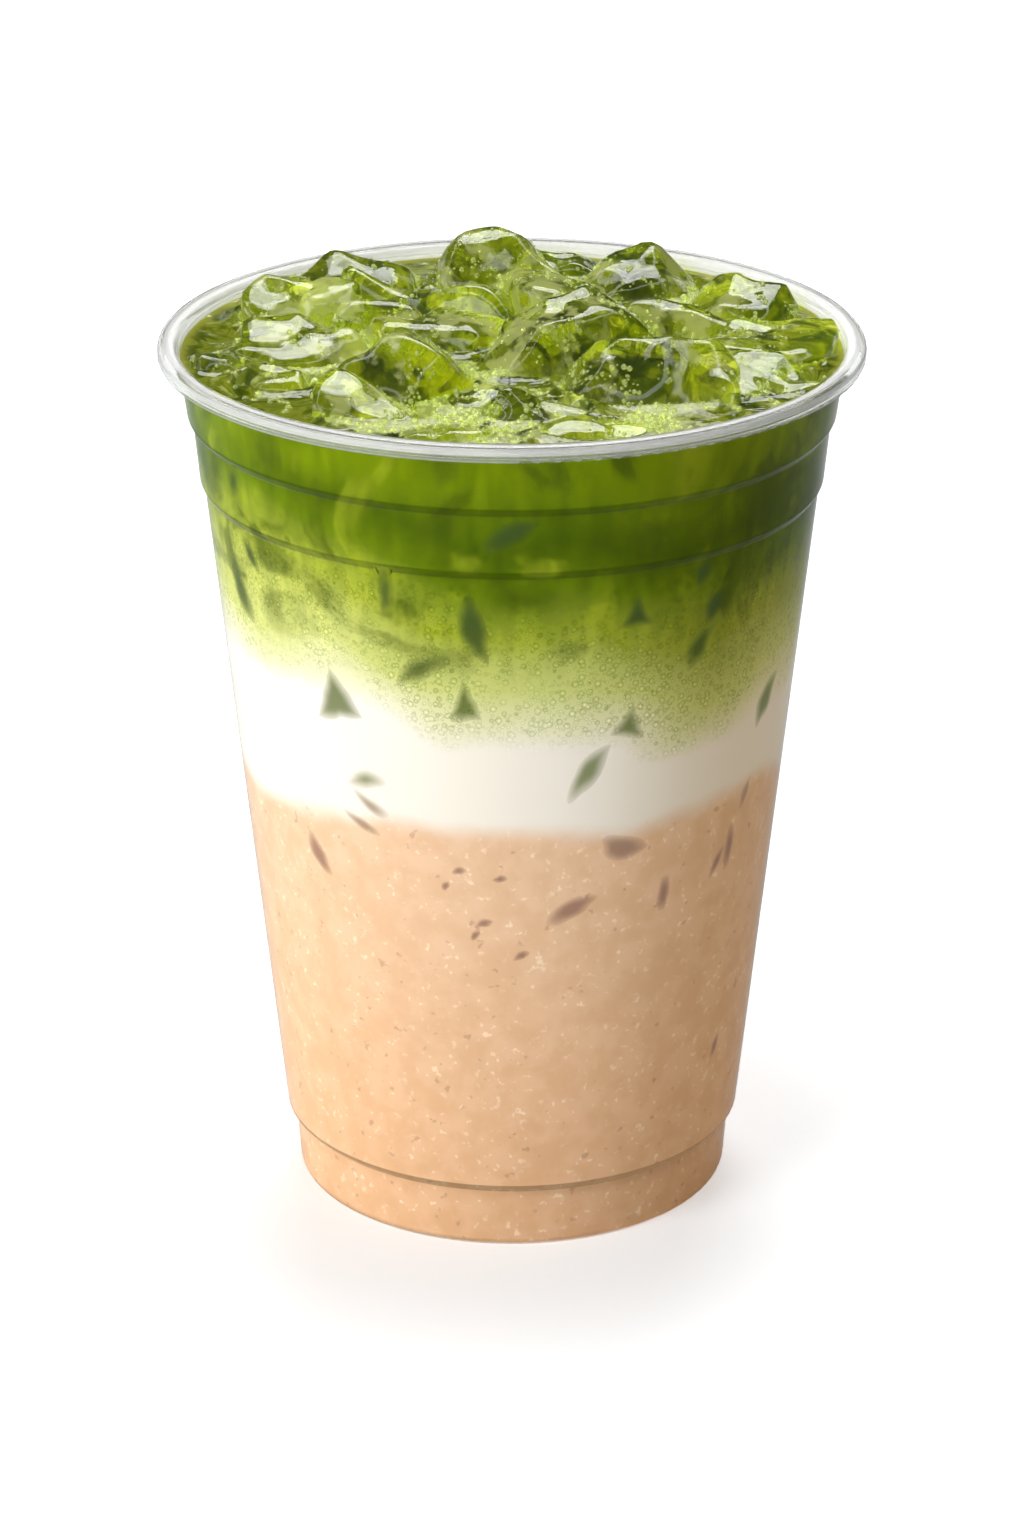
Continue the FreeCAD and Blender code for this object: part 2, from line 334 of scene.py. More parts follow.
# the inside of the cup: (height, radius) up its wall and (radius, height) over its base
def readInside():
    leansIn, leansUp, upright = 0.75, 0.5, 0.1  # parts of a face's normal, inwards and up
    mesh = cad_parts["cup"].data
    wall, base = {}, {}
    for face in mesh.polygons:
        middle = face.center
        across = math.hypot(middle.x, middle.y)
        inward = -(face.normal.x * middle.x + face.normal.y * middle.y) / max(across, 1e-9)
        if face.normal.z <= 0 or middle.z > drinkLevel:
            continue
        for index in face.vertices:
            p = mesh.vertices[index].co
            r = math.hypot(p.x, p.y)
            if inward > leansIn and p.z < drinkLevel:
                wall[round(p.z, 6)] = r
            elif face.normal.z > leansUp and inward < upright:
                base[round(r, 6)] = p.z
    return sorted(wall.items()), sorted(base.items())


dressCup()
wallLine, baseLine = readInside()
print("cup dressed,", len(wallLine), "heights read from its wall")


def wallRadius(height):
    (z0, r0), (z1, r1) = wallLine[-2:]
    if height > z1:
        return r1 + (height - z1) * (r1 - r0) / (z1 - z0)
    return float(np.interp(height, *zip(*wallLine)))


# the ice: every piece is a broken, melted block, which stands where its own solid does
iceSettings = dict(
    coarse=4, fine=5, largeFrom=11.0,  # how finely blocks are divided, small ones and those from 11 mm
    sharp=22, sideTilt=0.16, breaks=6, breakRise=(-25, 55), breakShare=(0.66, 0.84),
    scoops=2, scoopRise=(10, 60), scoopWidth=(0.06, 0.16), scoopDepth=0.13, bendTurns=2.6,
    dent=0.5 * mm, dentSize=6 * mm, ripple=0.07 * mm, rippleSize=2 * mm,
    ridge=2.2 * mm, ridgeSize=10 * mm, ridgeLevel=0.22,
    spread=1.14, lower=1.0 * mm, wallGap=0.35 * mm,
    frothAndShadeSize=5 * mm, frothAndShadeGrain=1.7 * mm, cloud=(120.0, 1.6), ragged=(900.0, 0.8),  # (scale, strength)
    # the greens run from painted shade, which stands in for the dark drink seen through thick ice, to pale
    # froth
    greens=[(0.15, (0.040, 0.065, 0.001)), (0.42, (0.16, 0.23, 0.003)), (0.56, (0.52, 0.64, 0.03)),
            (0.85, (0.86, 0.94, 0.26))],
    greenFade=(-0.75, 0.85), clearFade=(0.12, 0.50, 0.97, 0.42), clearTint=(0.97, 1.0, 0.45),
    sunkFade=(-0.2, 0.3, 0.8, 1.0), roughFade=(0.4, 0.75, 0.01, 0.07), roughScale=420.0,
    bumpScale=260.0, bumpStrength=0.2, bumpHeight=0.6 * mm, ior=1.36,
    letsThrough=(0.85, 0.92, 0.60), stain=(0.90, 0.90, 0.0, 1), stainDensity=150.0,
)

# size in mm, turned about Z, tipped about X, rolled about Y (degrees), shifted from the solid's middle (mm),
# and flats struck off it: (bearing, elevation, share of the block kept)
iceBlocks = {
    "ice_peak": dict(size=(16, 13, 16), turn=10, tip=18, roll=-6,
                     flats=[(-75, 38, 0.62), (180, 30, 0.7), (20, 42, 0.66)]),
    "ice_back_left": dict(size=(17, 12, 13), turn=-6, tip=4, roll=4, shift=(-2.5, 0),
                          flats=[(-60, 40, 0.72), (160, 50, 0.7)]),
    "ice_back_right": dict(size=(18, 13, 15), turn=8, tip=16, roll=-6,
                           flats=[(180, 40, 0.62), (5, 45, 0.66), (-80, 30, 0.7)]),
    "ice_back_chip": dict(size=(12, 7, 9), turn=-8, tip=10, roll=0, flats=[(0, 60, 0.7)]),
    "ice_right_back": dict(size=(15, 12, 14), turn=-10, tip=8, roll=14,
                           flats=[(180, 48, 0.62), (-80, 25, 0.7)]),
    "ice_right_slab": dict(size=(20, 14, 9), turn=-12, tip=6, roll=-4,
                           flats=[(160, 60, 0.78), (-70, 50, 0.75)]),
    "ice_right_front": dict(size=(15, 12, 10), turn=30, tip=4, roll=-6, flats=[(-60, 55, 0.72)]),
    "ice_front_right": dict(size=(23, 15, 15), turn=6, tip=22, roll=8,
                            flats=[(-85, 35, 0.6), (180, 42, 0.62), (90, 50, 0.7)]),
    "ice_centre_right": dict(size=(16, 8, 13), turn=-32, tip=14, roll=28, flats=[(120, 60, 0.7)]),
    "ice_centre": dict(size=(24, 13, 16), turn=24, tip=24, roll=-14,
                       flats=[(-65, 18, 0.6), (200, 48, 0.6), (10, 38, 0.66)]),
    "ice_dome": dict(size=(12, 11, 13), turn=5, tip=-6, roll=4, sharp=8, flats=[(-60, 40, 0.75)]),
    "ice_wave": dict(size=(25, 9, 12), turn=-22, tip=-8, roll=8, sharp=10, bend=2.6,
                     flats=[(-110, 30, 0.7)]),
    "ice_middle_flat": dict(size=(17, 14, 11), turn=14, tip=8, roll=4,
                            flats=[(-90, 50, 0.68), (60, 55, 0.75)]),
    "ice_left_block": dict(size=(8.5, 8, 12), turn=8, tip=3, roll=-3, flats=[(-80, 60, 0.85)]),
    "ice_left_chip": dict(size=(10, 8, 10), turn=-25, tip=22, roll=8,
                          flats=[(-80, 40, 0.66), (100, 45, 0.7)]),
    "ice_left_back": dict(size=(14, 12, 12), spread=1.0, shift=(2.0, 0), turn=28, tip=8, roll=-4, sharp=10,
                          flats=[(-60, 45, 0.75)]),
    "ice_left_slab": dict(size=(22, 14, 10), spread=1.0, shift=(1.5, 0), turn=2, tip=12, roll=6,
                          flats=[(-60, 45, 0.66), (60, 50, 0.7)]),
    "ice_left_shard": dict(size=(7, 6, 8), turn=18, tip=12, roll=10, flats=[(-60, 40, 0.6)]),
    "ice_left_front": dict(size=(12, 8, 9), spread=1.0, shift=(1.5, 1), turn=-12, tip=6, roll=-8,
                           flats=[(-80, 45, 0.66)]),
    "ice_pyramid": dict(size=(18, 14, 17), turn=38, tip=14, roll=10,
                        flats=[(-100, 36, 0.52), (15, 40, 0.54), (150, 42, 0.58), (70, 50, 0.6)]),
    "ice_front_left": dict(size=(16, 10, 12), turn=-18, tip=20, roll=6,
                           flats=[(-95, 25, 0.6), (10, 50, 0.6)]),
    "ice_front_small": dict(size=(9, 7, 8), turn=10, tip=9, roll=-5, flats=[(-60, 50, 0.7)]),
    "ice_front_facet": dict(size=(11, 9, 10), turn=44, tip=26, roll=6,
                            flats=[(-90, 45, 0.6), (60, 50, 0.66)]),
    "ice_front_low": dict(size=(14, 8, 8), turn=-8, tip=5, roll=4, flats=[(-80, 60, 0.75)]),
    "ice_front_edge": dict(size=(12, 7, 8), turn=12, tip=-5, roll=-4, flats=[(-80, 60, 0.75)]),
}


def ballOf(level):
    mesh = bmesh.new()
    bmesh.ops.create_icosphere(mesh, subdivisions=level, radius=1.0)
    points = np.array([v.co[:] for v in mesh.verts])
    faces = [[v.index for v in f.verts] for f in mesh.faces]
    mesh.free()
    return points, faces


balls = {level: ballOf(level) for level in (iceSettings["coarse"], iceSettings["fine"])}


def towards(bearing, elevation):
    b, e = math.radians(bearing), math.radians(elevation)
    return np.array((math.cos(b) * math.cos(e), math.sin(b) * math.cos(e), math.sin(e)))


# outward directions and distances of the block's flat sides, in its own axes
def sidesOf(block, turn, chance):
    s = iceSettings
    half = np.array(block["size"]) * mm / 2
    sides = []
    for axis in range(3):
        for sign in (-1, 1):
            tilt = np.array([chance.uniform(-s["sideTilt"], s["sideTilt"]) for _ in range(3)])
            way = np.eye(3)[axis] * sign + tilt
            sides.append((way / np.linalg.norm(way), half[axis]))
    for _ in range(s["breaks"]):
        way = turn.T @ towards(chance.uniform(-180, 180), chance.uniform(*s["breakRise"]))
        sides.append((way, (np.abs(way) @ half) * chance.uniform(*s["breakShare"])))
    for bearing, elevation, share in block["flats"]:
        way = turn.T @ towards(bearing, elevation)
        sides.append((way, share * (np.abs(way) @ half)))
    return sides


def dentedBy(point, seed):  # how far melting moves a point of the block in or out
    s = iceSettings
    dent = s["dent"] * grain(point, s["dentSize"], seed)
    ripple = s["ripple"] * grain(point, s["rippleSize"], seed + 9)
    return dent + ripple + s["ridge"] * (s["ridgeLevel"] - abs(grain(point, s["ridgeSize"], seed + 3)))


# a block with its flats and scoops, rippled as ice melts, where its solid stands
def blockPoints(name, block, chance):
    s = iceSettings
    ways, faces = balls[s["fine"] if max(block["size"]) >= s["largeFrom"] else s["coarse"]]
    low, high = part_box(name)
    half = np.array(block["size"]) * mm / 2
    angles = [math.radians(block[k]) for k in ("tip", "roll", "turn")]
    turn = np.array(Euler(angles).to_matrix())
    sharp = block.get("sharp", s["sharp"])
    hold = np.zeros(len(ways))
    for way, distance in sidesOf(block, turn, chance):
        hold += (np.maximum(ways @ way, 0.0) / distance) ** sharp
    reach = hold ** (-1.0 / sharp)
    for _ in range(s["scoops"]):
        way = turn.T @ towards(chance.uniform(-180, 180), chance.uniform(*s["scoopRise"]))
        scoop = np.exp(-((1.0 - ways @ way) / chance.uniform(*s["scoopWidth"])) ** 2)
        reach *= 1.0 - s["scoopDepth"] * scoop
    points = ways * reach[:, None]
    if "bend" in block:
        points[:, 2] += block["bend"] * mm * np.sin(points[:, 0] / half[0] * s["bendTurns"])
    seed = chance.uniform(0, 40)
    push = np.array([dentedBy(p, seed) for p in points])
    points = (points + ways * push[:, None]) @ turn.T
    points[:, :2] *= block.get("spread", s["spread"])
    middle = (low + high) / 2
    points += np.array((middle.x, middle.y, high.z - s["lower"] - points[:, 2].max()))
    points[:, :2] += np.array(block.get("shift", (0.0, 0.0))) * mm
    across = np.hypot(points[:, 0], points[:, 1])
    limit = np.array([wallRadius(z) for z in np.minimum(points[:, 2], rimTop)]) - s["wallGap"]
    points[:, :2] *= np.minimum(1.0, limit / np.maximum(across, 1e-6))[:, None]
    return points, faces


# how much paler (or darker, below zero) some blocks are than the others: paler means more froth, darker
# means more painted shade
paleness = dict(
    ice_peak=0.42, ice_left_back=0.34, ice_dome=0.2, ice_back_right=0.22, ice_wave=-0.35,
    ice_back_left=-0.15, ice_left_block=0.15, ice_left_slab=0.12, ice_middle_flat=0.2, ice_right_back=-0.1,
    ice_right_slab=-0.2, ice_front_right=-0.05, ice_pyramid=-0.1, ice_back_chip=-0.4, ice_centre=0.1,
    ice_centre_right=0.3,
)


# how pale the ice is at each point, with froth at the pale end and painted shade at the dark end, and how
# high it stands
def frothAndShadeOn(name, points, seed):
    s = iceSettings
    frothAndShade = np.array([grain(p, s["frothAndShadeSize"], seed) for p in points])
    frothAndShade += 0.5 * np.array([grain(p, s["frothAndShadeGrain"], seed + 5) for p in points])
    frothAndShade += paleness.get(name, 0.0)
    above = (points[:, 2] - drinkLevel) / max(points[:, 2].max() - drinkLevel, 1 * mm)
    return frothAndShade, np.clip(above, -1, 1)


def iceMaterial():
    s = iceSettings
    material, tree = newMaterial("melting ice")
    place = addPlace(tree)
    cloud = addNoise(tree, place, s["cloud"][0], detail=4.0, distortion=1.2)
    ragged = addNoise(tree, place, s["ragged"][0])
    paleAmount = addMath(tree, "ADD", addPainted(tree, "frothAndShade"), addWobble(tree, cloud, s["cloud"][1]))
    paleAmount = addMath(tree, "ADD", paleAmount, addWobble(tree, ragged, s["ragged"][1]))
    # painted shade: the dark end of the greens stands in for the dark drink seen through thick ice; the pale
    # end is froth
    body = addRamp(tree, addRange(tree, paleAmount, *s["greenFade"], smooth=False), s["greens"])
    clear = addRange(tree, paleAmount, *s["clearFade"])
    sunk = addRange(tree, addPainted(tree, "above"), *s["sunkFade"])
    rough = addRange(tree, addNoise(tree, place, s["roughScale"]), *s["roughFade"])
    bump = addNode(tree, "ShaderNodeBump", {"Strength": s["bumpStrength"], "Distance": s["bumpHeight"]})
    tree.links.new(addNoise(tree, place, s["bumpScale"], detail=2.0), bump.inputs["Height"])
    values = {"Base Color": addMix(tree, clear, body, s["clearTint"]), "Roughness": rough, "IOR": s["ior"]}
    values.update({"Normal": bump.outputs[0], "Transmission Weight": addTimes(tree, clear, sunk)})
    finishMaterial(tree, addSurface(tree, values), s["letsThrough"])
    stain = addNode(tree, "ShaderNodeVolumeAbsorption", {"Color": s["stain"], "Density": s["stainDensity"]})
    output = next(n for n in tree.nodes if n.type == "OUTPUT_MATERIAL")
    tree.links.new(stain.outputs[0], output.inputs["Volume"])
    return material


def makeIce():
    chance = random.Random(31)
    material = iceMaterial()
    made = {}
    for name, block in iceBlocks.items():
        points, faces = blockPoints(name, block, chance)
        piece = makePiece(name.replace("ice_", "ice-"), points, faces)
        frothAndShade, above = frothAndShadeOn(name, points, len(made) * 3.7)
        paint(piece, "frothAndShade", frothAndShade)
        paint(piece, "above", above)
        settle(piece, "ice", [material], name)
        made[name] = points
    return made


ice = makeIce()
print("ice made,", len(ice), "pieces")


# the drink: one body of liquid from the base to its surface, with a bowl melted under each block
drinkSettings = dict(
    columns=320, wallStep=1.3 * mm, intoWall=0.15 * mm, topRings=110, crowding=1.15,
    meniscus=0.55 * mm, meniscusWidth=1.3 * mm,
    swell=0.28 * mm, swellSize=9 * mm, wavelet=0.5, waveletSize=3.5 * mm,
    waterline=1.2 * mm, bowlShare=0.55, bowlFade=(0.4, 0.98), cling=0.7 * mm, clingWidth=0.8 * mm,
    calmEdge=(0.3 * mm, 2.5 * mm), brimWidth=1.1 * mm, deepBowl=6 * mm,
    ledgeShade=0.55, ledgeSlopes=(0.16, 0.5), ledgeFrom=2 * mm,
)


# (x, y, half length, half width, bearing, depth) of the bowl under each block
def bowlsUnder(blocks):
    s = drinkSettings
    bowls = []
    for points in blocks.values():
        band = points[np.abs(points[:, 2] - drinkLevel) < s["waterline"]]
        if len(band) < 8:
            continue
        middle = (band.min(0) + band.max(0)) / 2
        spread = band[:, :2] - middle[:2]
        vectors = np.linalg.eigh(np.cov(spread.T))[1]
        along = vectors[:, 1]
        halfLong = np.abs(spread @ along).max()
        halfWide = np.abs(spread @ vectors[:, 0]).max()
        depth = (drinkLevel - points[:, 2].min()) * s["bowlShare"]
        bowls.append((middle[0], middle[1], halfLong, halfWide, math.atan2(along[1], along[0]), depth))
    return bowls


# the height of the surface, and how deep its bowls are there
def surfaceHeight(x, y, edge, bowls):
    s = drinkSettings
    fromWall = edge - np.hypot(x, y)
    rise = s["meniscus"] * np.exp(-np.maximum(fromWall, 0) / s["meniscusWidth"])
    flat = [(a, b, 0.0) for a, b in zip(x, y)]
    swell = np.array([grain(p, s["swellSize"], 3.0) for p in flat])
    swell += s["wavelet"] * np.array([grain(p, s["waveletSize"], 8.0) for p in flat])
    inner = easeBetween(*s["calmEdge"], fromWall)
    height = drinkLevel + rise + s["swell"] * swell * inner
    sunk, cling = np.zeros(len(x)), np.zeros(len(x))
    for cx, cy, halfLong, halfWide, angle, depth in bowls:
        u = ((x - cx) * math.cos(angle) + (y - cy) * math.sin(angle)) / halfLong
        v = (-(x - cx) * math.sin(angle) + (y - cy) * math.cos(angle)) / halfWide
        across = np.hypot(u, v)
        sunk = np.maximum(sunk, depth * (1 - easeBetween(*s["bowlFade"], across)))
        cling = np.maximum(cling, np.exp(-np.abs(across - 1.0) * halfWide / s["clingWidth"]))
    return height + (s["cling"] * cling - sunk) * inner, sunk


# (radius, height) from the middle of the base out, and up the wall
def drinkOutline():
    s = drinkSettings
    into = s["intoWall"]
    line = [(r, z - into) for r, z in baseLine]
    heights = [z for z, r in wallLine]
    top = drinkLevel + s["meniscus"]
    near = 0.35 * s["wallStep"]
    steps = np.arange(heights[0], top, s["wallStep"])
    heights += [z for z in steps if min(abs(z - h) for h in heights) > near]
    line += [(wallRadius(z) + into, z) for z in sorted(heights) if z < top - near]
    line.append((wallRadius(top) + into, top))
    return line


# painted shade: the rows of the side under the cup's ledges are painted darker, standing in for the ledges'
# refraction
def ledgeShades(outline):  # how dark each row of the side is, where the cup's wall has a ledge
    s = drinkSettings
    steps = zip(outline, outline[1:])
    slopes = [abs(b[0] - a[0]) / max(abs(b[1] - a[1]), 0.01 * mm) for a, b in steps] + [0.0]
    shades = []
    for i, (_, z) in enumerate(outline):
        slope = float(easeBetween(*s["ledgeSlopes"], max(slopes[i - 1], slopes[i])))
        shades.append(s["ledgeShade"] * slope if z > baseLine[-1][1] + s["ledgeFrom"] else 0.0)
    return shades


# rings of faces from the middle of the base, up the side and over the surface to its middle
def drinkFaces(columns, rings, sideRings):
    last = 1 + (rings - 1) * columns
    faces = [(0, 1 + (k + 1) % columns, 1 + k) for k in range(columns)]
    for a in range(1, last, columns):
        for k in range(columns):
            n = (k + 1) % columns
            faces.append((a + k, a + n, a + n + columns, a + k + columns))
    faces += [(last + k, last + (k + 1) % columns, last + columns) for k in range(columns)]
    onSide = sideRings * columns
    return faces, [0] * onSide + [1] * (len(faces) - onSide)  # with the number of each face's material


def makeDrink():
    s = drinkSettings
    bowls = bowlsUnder(ice)
    columns = s["columns"]
    angles = np.arange(columns) * 2 * math.pi / columns
    cosines, sines = np.cos(angles), np.sin(angles)
    outline = drinkOutline()
    points = [np.array([[0.0, 0.0, baseLine[0][1] - s["intoWall"]]])]
    points += [np.stack([r * cosines, r * sines, np.full(columns, z)], 1) for r, z in outline]
    onSide = 1 + len(outline) * columns
    foam, depth = [np.zeros(onSide)], [np.zeros(onSide)]
    edge = float(np.hypot(*points[-1][0, :2]))
    for ring in range(1, s["topRings"]):
        r = edge * (1 - (ring / s["topRings"]) ** s["crowding"])
        x, y = r * cosines, r * sines
        z, sunk = surfaceHeight(x, y, edge, bowls)
        points.append(np.stack([x, y, z], 1))
        foam.append(foamAt(x, y, edge))
        depth.append(sunk)
    middle, sunk = surfaceHeight(np.zeros(1), np.zeros(1), edge, bowls)
    points.append(np.array([[0.0, 0.0, middle[0]]]))
    foam.append(np.zeros(1))
    depth.append(sunk)
    faces, kinds = drinkFaces(columns, len(points) - 2, len(outline))
    points = np.concatenate(points)
    ledge = np.zeros(len(points))
    ledge[1:onSide] = np.repeat(ledgeShades(outline), columns)
    drink = makePiece("layered-drink", points, faces)
    paint(drink, "foam", np.concatenate(foam))
    paint(drink, "brim", np.exp(-np.abs(edge - np.hypot(points[:, 0], points[:, 1])) / s["brimWidth"]))
    paint(drink, "ledge", ledge)
    paint(drink, "depth", np.concatenate(depth) / s["deepBowl"])
    settle(drink, "matcha", [sideMaterial(), topMaterial()], "coffee", "milk", "matcha")
    drink.data.polygons.foreach_set("material_index", kinds)
    drink.data.update()
    return bowls


# where the surface froths most: (x, y, radius in mm, strength), over a froth that is everywhere uneven
frothSpots = [
    (-16, 2, 12, 0.9), (-27, -12, 9, 0.9), (-8, -33, 15, 1.0), (14, -34, 13, 0.9), (34, -14, 9, 0.9),
    (-33, 22, 10, 0.9), (27, 20, 9, 0.7), (2, 10, 9, 0.6), (-6, -14, 8, 0.9), (12, 30, 7, 0.5),
]
frothSettings = dict(
    everywhere=0.36, broad=0.60, broadSize=8 * mm,
    ragged=0.32, raggedSize=2.6 * mm, roughness=0.8, octaves=(2.1, 4),
    spots=0.42, spotFade=(0.2, 1.0), lessAtWall=0.35, wallFade=(1 * mm, 8 * mm),
)


def foamAt(x, y, edge):
    s = frothSettings
    flat = [Vector((a, b, 0.0)) for a, b in zip(x, y)]
    broad = np.array([grain(p, s["broadSize"], 5.0) for p in flat])
    ragged = np.array([noise.fractal(p / s["raggedSize"], s["roughness"], *s["octaves"]) for p in flat])
    amount = s["everywhere"] + s["broad"] * broad + s["ragged"] * ragged
    for sx, sy, radius, strength in frothSpots:
        away = np.hypot(x - sx * mm, y - sy * mm)
        amount += s["spots"] * strength * (1 - easeBetween(*s["spotFade"], away / (radius * mm)))
    fromWall = edge - np.hypot(x, y)
    amount -= s["lessAtWall"] * (1 - easeBetween(*s["wallFade"], fromWall))
    return np.clip(amount, 0.0, 1.0)


# the side of the drink; a fade is (from, to, what it gives at the start, and at the end)
layerSettings = dict(
    coffee=(0.79, 0.54, 0.35), coffeeDeep=(0.80, 0.50, 0.29), milk=(0.845, 0.785, 0.685),
    creamGreen=(0.74, 0.72, 0.46), paleGreen=(0.56, 0.59, 0.19), midGreen=(0.29, 0.34, 0.035),
    matcha=(0.108, 0.168, 0.003), deepMatcha=(0.060, 0.100, 0.002), brimGreen=(0.150, 0.222, 0.002),
    darkDrift=(0.055, 0.085, 0.004), paleDrift=(0.26, 0.32, 0.015),
    paleSpeck=(0.96, 0.80, 0.58), darkSpeck=(0.45, 0.25, 0.16),
    # tints that multiply the colour under them; the glint tint is a painted highlight, and the ledge and
    # right-side tints are painted shade
    streakTint=(1.28, 1.24, 1.2), bubbleTint=(0.45, 0.52, 0.30), glintTint=(1.7, 1.6, 2.2),
    mottleTint=(0.86, 0.78, 0.68), ledgeShadeTint=(0.42, 0.45, 0.38), rightShadeTint=(0.82, 0.72, 0.58),
    # where the layers meet, and where the right side is painted darker as painted shade
    waveScale=42.0, wavelet=(150.0, 0.16), coffeeWave=10 * mm, greenWave=14 * mm,
    milkFrom=1.6 * mm, milkTo=2.2 * mm, coffeeFoot=2 * mm, greenFrom=8 * mm, greenTo=4 * mm,
    leftDrop=(-38 * mm, -10 * mm, -8 * mm, 0.0), rightRise=(5 * mm, 25 * mm, 0.0, 3 * mm),
    rightShadeSide=(5 * mm, 34 * mm), brimFrom=9 * mm, brimTo=2 * mm, brimStrength=0.85,
    # over the milk's top (shares of the drink's height), and then up to the brim
    greenSteps=[(-0.03, "milk"), (-0.004, "creamGreen"), (0.035, "paleGreen"), (0.105, "midGreen"),
                (0.17, "matcha")],
    brimSteps=[(0.90, "deepMatcha"), (0.955, "matcha")],
    # drifts and streaks in the green
    driftScale=55.0, driftFrom=4 * mm, driftTo=16 * mm,
    darkFade=(0.50, 0.64, 0.0, 0.70), paleFade=(0.45, 0.34, 0.0, 0.60),
    streakScale=420.0, streakStretch=(1.0, 1.0, 0.2), streakFade=(0.38, 0.66),
    # fine froth at the foot of the green: (scale, strength) of its bubbles, each with a painted highlight in
    # its middle
    bubbles=((820.0, 0.50), (1500.0, 0.42)),
    bubbleOuter=(0.46, 0.37), bubbleInner=(0.24, 0.33), glintFade=(0.16, 0.06),
    patchScale=75.0, patchFade=(0.30, 0.54),
    frothFrom=5 * mm, frothTo=1 * mm, frothTop=6 * mm, frothAbove=0.25,
    # grain of the coffee
    mottleScale=260.0, mottleFade=(0.35, 0.65, 0.5, 0.0), speckMottle=(0.40, 0.60, 0.2, 1.0),
    paleScale=900.0, paleSpeckFade=(0.60, 0.70, 0.0, 0.6),
    darkScale=620.0, darkSpeckFade=(0.34, 0.27, 0.0, 0.5),
    rough=0.5,
)


# the plain layers, with where the green is (in height) and where the drink isn't coffee
def addLayers(tree, place, across, height):
    s = layerSettings
    broad = addNoise(tree, place, s["waveScale"], detail=1.0)
    fine = addNoise(tree, place, s["wavelet"][0], detail=2.0)
    wave = addMath(tree, "ADD", addWobble(tree, broad, 1.0), addWobble(tree, fine, s["wavelet"][1]))
    coffeeAt = addMath(tree, "ADD", height, addTimes(tree, wave, s["coffeeWave"]))
    isMilk = addRange(tree, coffeeAt, milkFoot - s["milkFrom"], milkFoot + s["milkTo"])
    coffee = addMix(tree, addRange(tree, height, s["coffeeFoot"], milkFoot), s["coffeeDeep"], s["coffee"])
    colour = addMix(tree, isMilk, coffee, s["milk"])
    # matcha sinks into the milk, further on the left
    drop = addRange(tree, across, *s["leftDrop"])
    drop = addMath(tree, "ADD", drop, addRange(tree, across, *s["rightRise"]))
    greenAt = addMath(tree, "ADD", addMath(tree, "ADD", height, drop), addTimes(tree, wave, s["greenWave"]))
    stops = [(matchaFoot / drinkLevel + step, s[name]) for step, name in s["greenSteps"]]
    stops += [(share, s[name]) for share, name in s["brimSteps"]]
    green = addRamp(tree, addMath(tree, "DIVIDE", greenAt, drinkLevel), stops)
    isGreen = addRange(tree, greenAt, matchaFoot - s["greenFrom"], matchaFoot - s["greenTo"])
    colour = addMix(tree, isGreen, colour, green)
    brim = addRange(tree, height, drinkLevel - s["brimFrom"], drinkLevel - s["brimTo"])
    colour = addMix(tree, addTimes(tree, brim, s["brimStrength"]), colour, s["brimGreen"])
    return colour, greenAt, isMilk


def addDrifts(tree, place, height, colour):
    s = layerSettings
    inGreen = addRange(tree, height, matchaFoot + s["driftFrom"], matchaFoot + s["driftTo"])
    drift = addNoise(tree, place, s["driftScale"], detail=4.0, distortion=1.6)
    for fade, drifted in (("darkFade", "darkDrift"), ("paleFade", "paleDrift")):
        amount = addTimes(tree, addRange(tree, drift, *s[fade]), inGreen)
        colour = addMix(tree, amount, colour, s[drifted])
    upright = addNode(tree, "ShaderNodeMapping", {"Vector": place, "Scale": s["streakStretch"]}).outputs[0]
    streak = addRange(tree, addNoise(tree, upright, s["streakScale"]), *s["streakFade"])
    return addMix(tree, addTimes(tree, streak, inGreen), colour, s["streakTint"], "MULTIPLY")


def addSideFroth(tree, place, height, greenAt, colour):
    s = layerSettings
    patch = addRange(tree, addNoise(tree, place, s["patchScale"]), *s["patchFade"])
    foot = addRange(tree, greenAt, matchaFoot - s["frothFrom"], matchaFoot + s["frothTo"])
    top = addRange(tree, height, drinkLevel - s["frothTop"], matchaFoot + s["driftTo"], s["frothAbove"], 1.0)
    zone = addTimes(tree, foot, top, patch)
    for scale, strength in s["bubbles"]:
        cells = addCells(tree, place, scale)
        inner, outer = addRange(tree, cells, *s["bubbleInner"]), addRange(tree, cells, *s["bubbleOuter"])
        ring = addTimes(tree, inner, outer, zone, strength)
        colour = addMix(tree, ring, colour, s["bubbleTint"], "MULTIPLY")
        # painted highlight: a glint brightens the middle of each bubble
        glint = addTimes(tree, addRange(tree, cells, *s["glintFade"]), zone, strength)
        colour = addMix(tree, glint, colour, s["glintTint"], "MULTIPLY")
    return colour


def addCoffeeGrain(tree, place, isMilk, colour):
    s = layerSettings
    inCoffee = addMath(tree, "SUBTRACT", 1.0, isMilk)
    mottle = addNoise(tree, place, s["mottleScale"], detail=5.0)
    mottled = addTimes(tree, inCoffee, addRange(tree, mottle, *s["mottleFade"]))
    colour = addMix(tree, mottled, colour, s["mottleTint"], "MULTIPLY")
    pale = addRange(tree, addNoise(tree, place, s["paleScale"], detail=2.0), *s["paleSpeckFade"])
    pale = addTimes(tree, pale, inCoffee, addRange(tree, mottle, *s["speckMottle"]))
    colour = addMix(tree, pale, colour, s["paleSpeck"])
    dark = addRange(tree, addNoise(tree, place, s["darkScale"], detail=2.0), *s["darkSpeckFade"])
    return addMix(tree, addTimes(tree, dark, inCoffee), colour, s["darkSpeck"])


